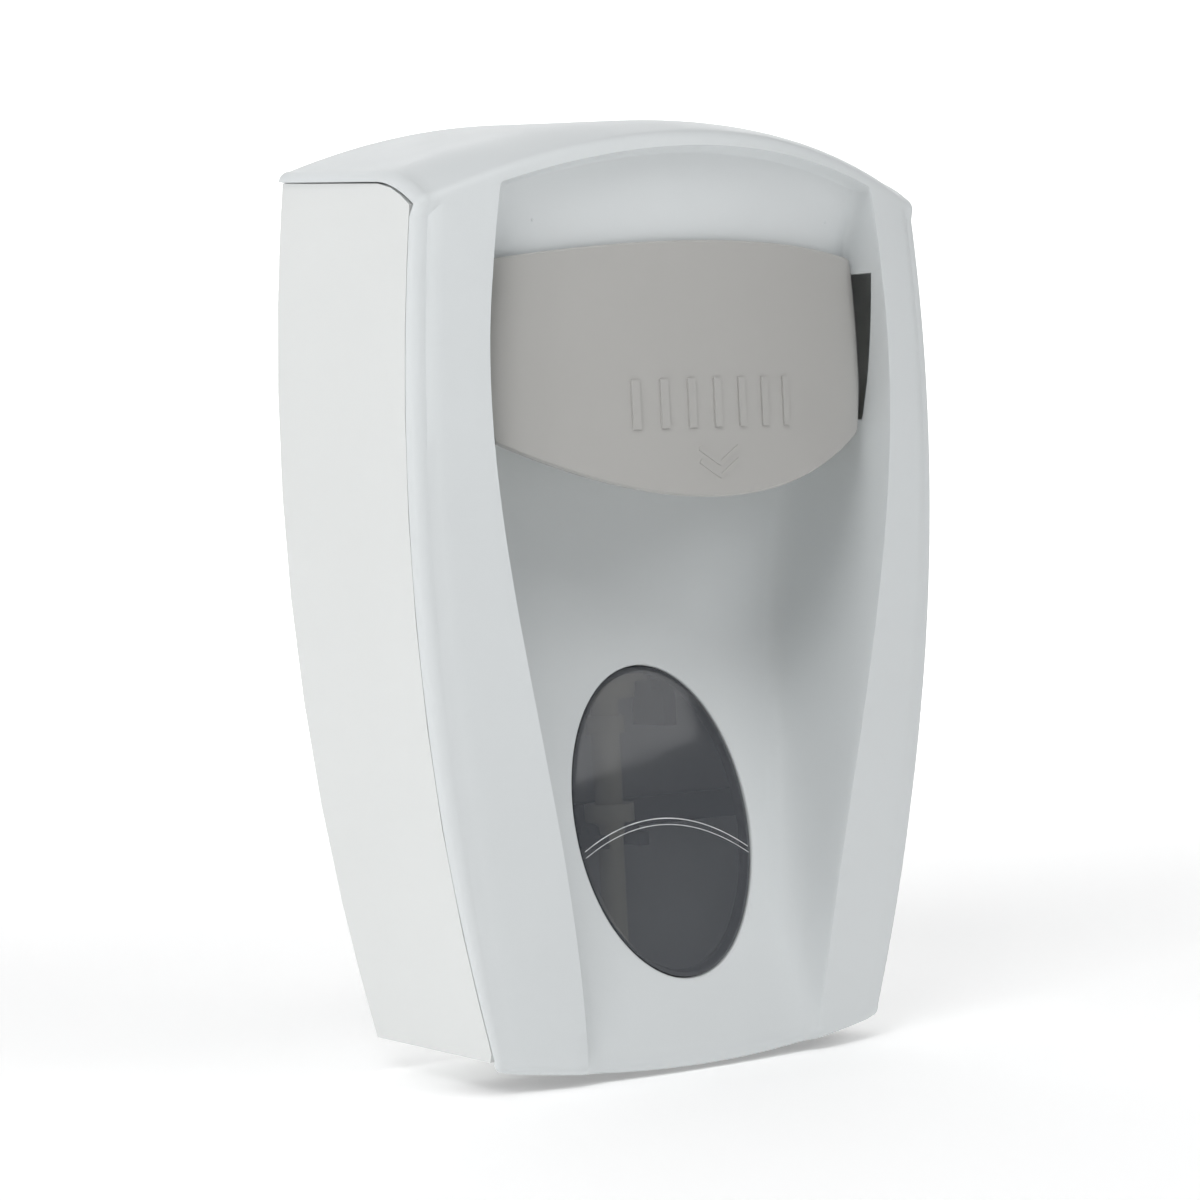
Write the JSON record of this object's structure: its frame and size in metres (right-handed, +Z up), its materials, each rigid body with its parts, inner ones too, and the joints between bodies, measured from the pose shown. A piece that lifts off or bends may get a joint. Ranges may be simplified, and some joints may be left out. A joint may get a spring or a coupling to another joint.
{
  "type": "wall mounted soap dispenser",
  "caption": "Manual push-lever foam soap dispenser for a wall: arched cover with side rails, deep finger recess, grey lever and smoked oval window over a rear housing.",
  "frame": {"origin": "centre of the four wall-screw holes, on the wall plane at the back of the rear housing", "axes": "+X to the right seen from the front, +Y into the wall, +Z up"},
  "size_m": [0.1694, 0.093, 0.2651],
  "materials": {
    "cover_plastic": "satin, fine moulded grain",
    "housing_plastic": "satin, fine moulded grain",
    "lever_plastic": "satin",
    "smoked_lens": "polished, smoked",
    "dark_plastic": "satin",
    "cream_plastic": "natural",
    "bottle_plastic": "translucent",
    "steel": "plated"
  },
  "bodies": {
    "housing": {"rear_housing": "housing_plastic", "bottle_shelf": "dark_plastic", "refill_bottle": "bottle_plastic", "bottle_closure": "cream_plastic", "pump_chamber": "cream_plastic", "pump_spring": "steel", "yoke_pivot_pins": "steel", "lock_strike": "steel"},
    "plunger": {"pump_plunger": "cream_plastic"},
    "yoke": {"pump_yoke": "dark_plastic"},
    "cover": {"front_cover": "cover_plastic", "cover_hinge_pins": "steel", "window_lens": "smoked_lens", "window_retainer": "dark_plastic", "lever_pivot_pins": "steel", "lever_spring": "steel", "lock_nut": "steel"},
    "lever": {"push_lever": "lever_plastic", "lever_carrier": "cream_plastic", "carrier_rivets": "steel"},
    "lock": {"lock_barrel": "steel", "lock_cam": "steel"}
  },
  "joints": [
    {"name": "cover_hinge", "type": "hinge", "parent": "housing", "child": "cover", "pos_m": [0, -0.0605, -0.1195], "axis": [1, 0, 0], "range_deg": [0, 90]},
    {"name": "lever_press", "type": "hinge", "parent": "cover", "child": "lever", "pos_m": [0, -0.068, 0.084], "axis": [1, 0, 0], "range_deg": [0, 7], "stiffness_Nm_per_rad": 1.5, "springref_deg": -4.58},
    {"name": "yoke_turn", "type": "hinge", "parent": "housing", "child": "yoke", "pos_m": [0, -0.008, -0.066], "axis": [1, 0, 0], "range_deg": [-13.4, 0]},
    {"name": "plunger_lift", "type": "slide", "parent": "housing", "child": "plunger", "axis": [0, 0, 1], "range_m": [0, 0.0042], "deforming": ["pump_spring"]},
    {"name": "lock_turn", "type": "hinge", "parent": "cover", "child": "lock", "pos_m": [0.05, -0.014, 0.118], "axis": [0, 0, 1], "range_deg": [0, 90]}
  ],
  "couplings": [
    {"joint": "yoke_turn", "follows": "lever_press", "ratio": -1.9},
    {"joint": "plunger_lift", "follows": "lever_press", "m_per_rad": 0.0336}
  ]
}
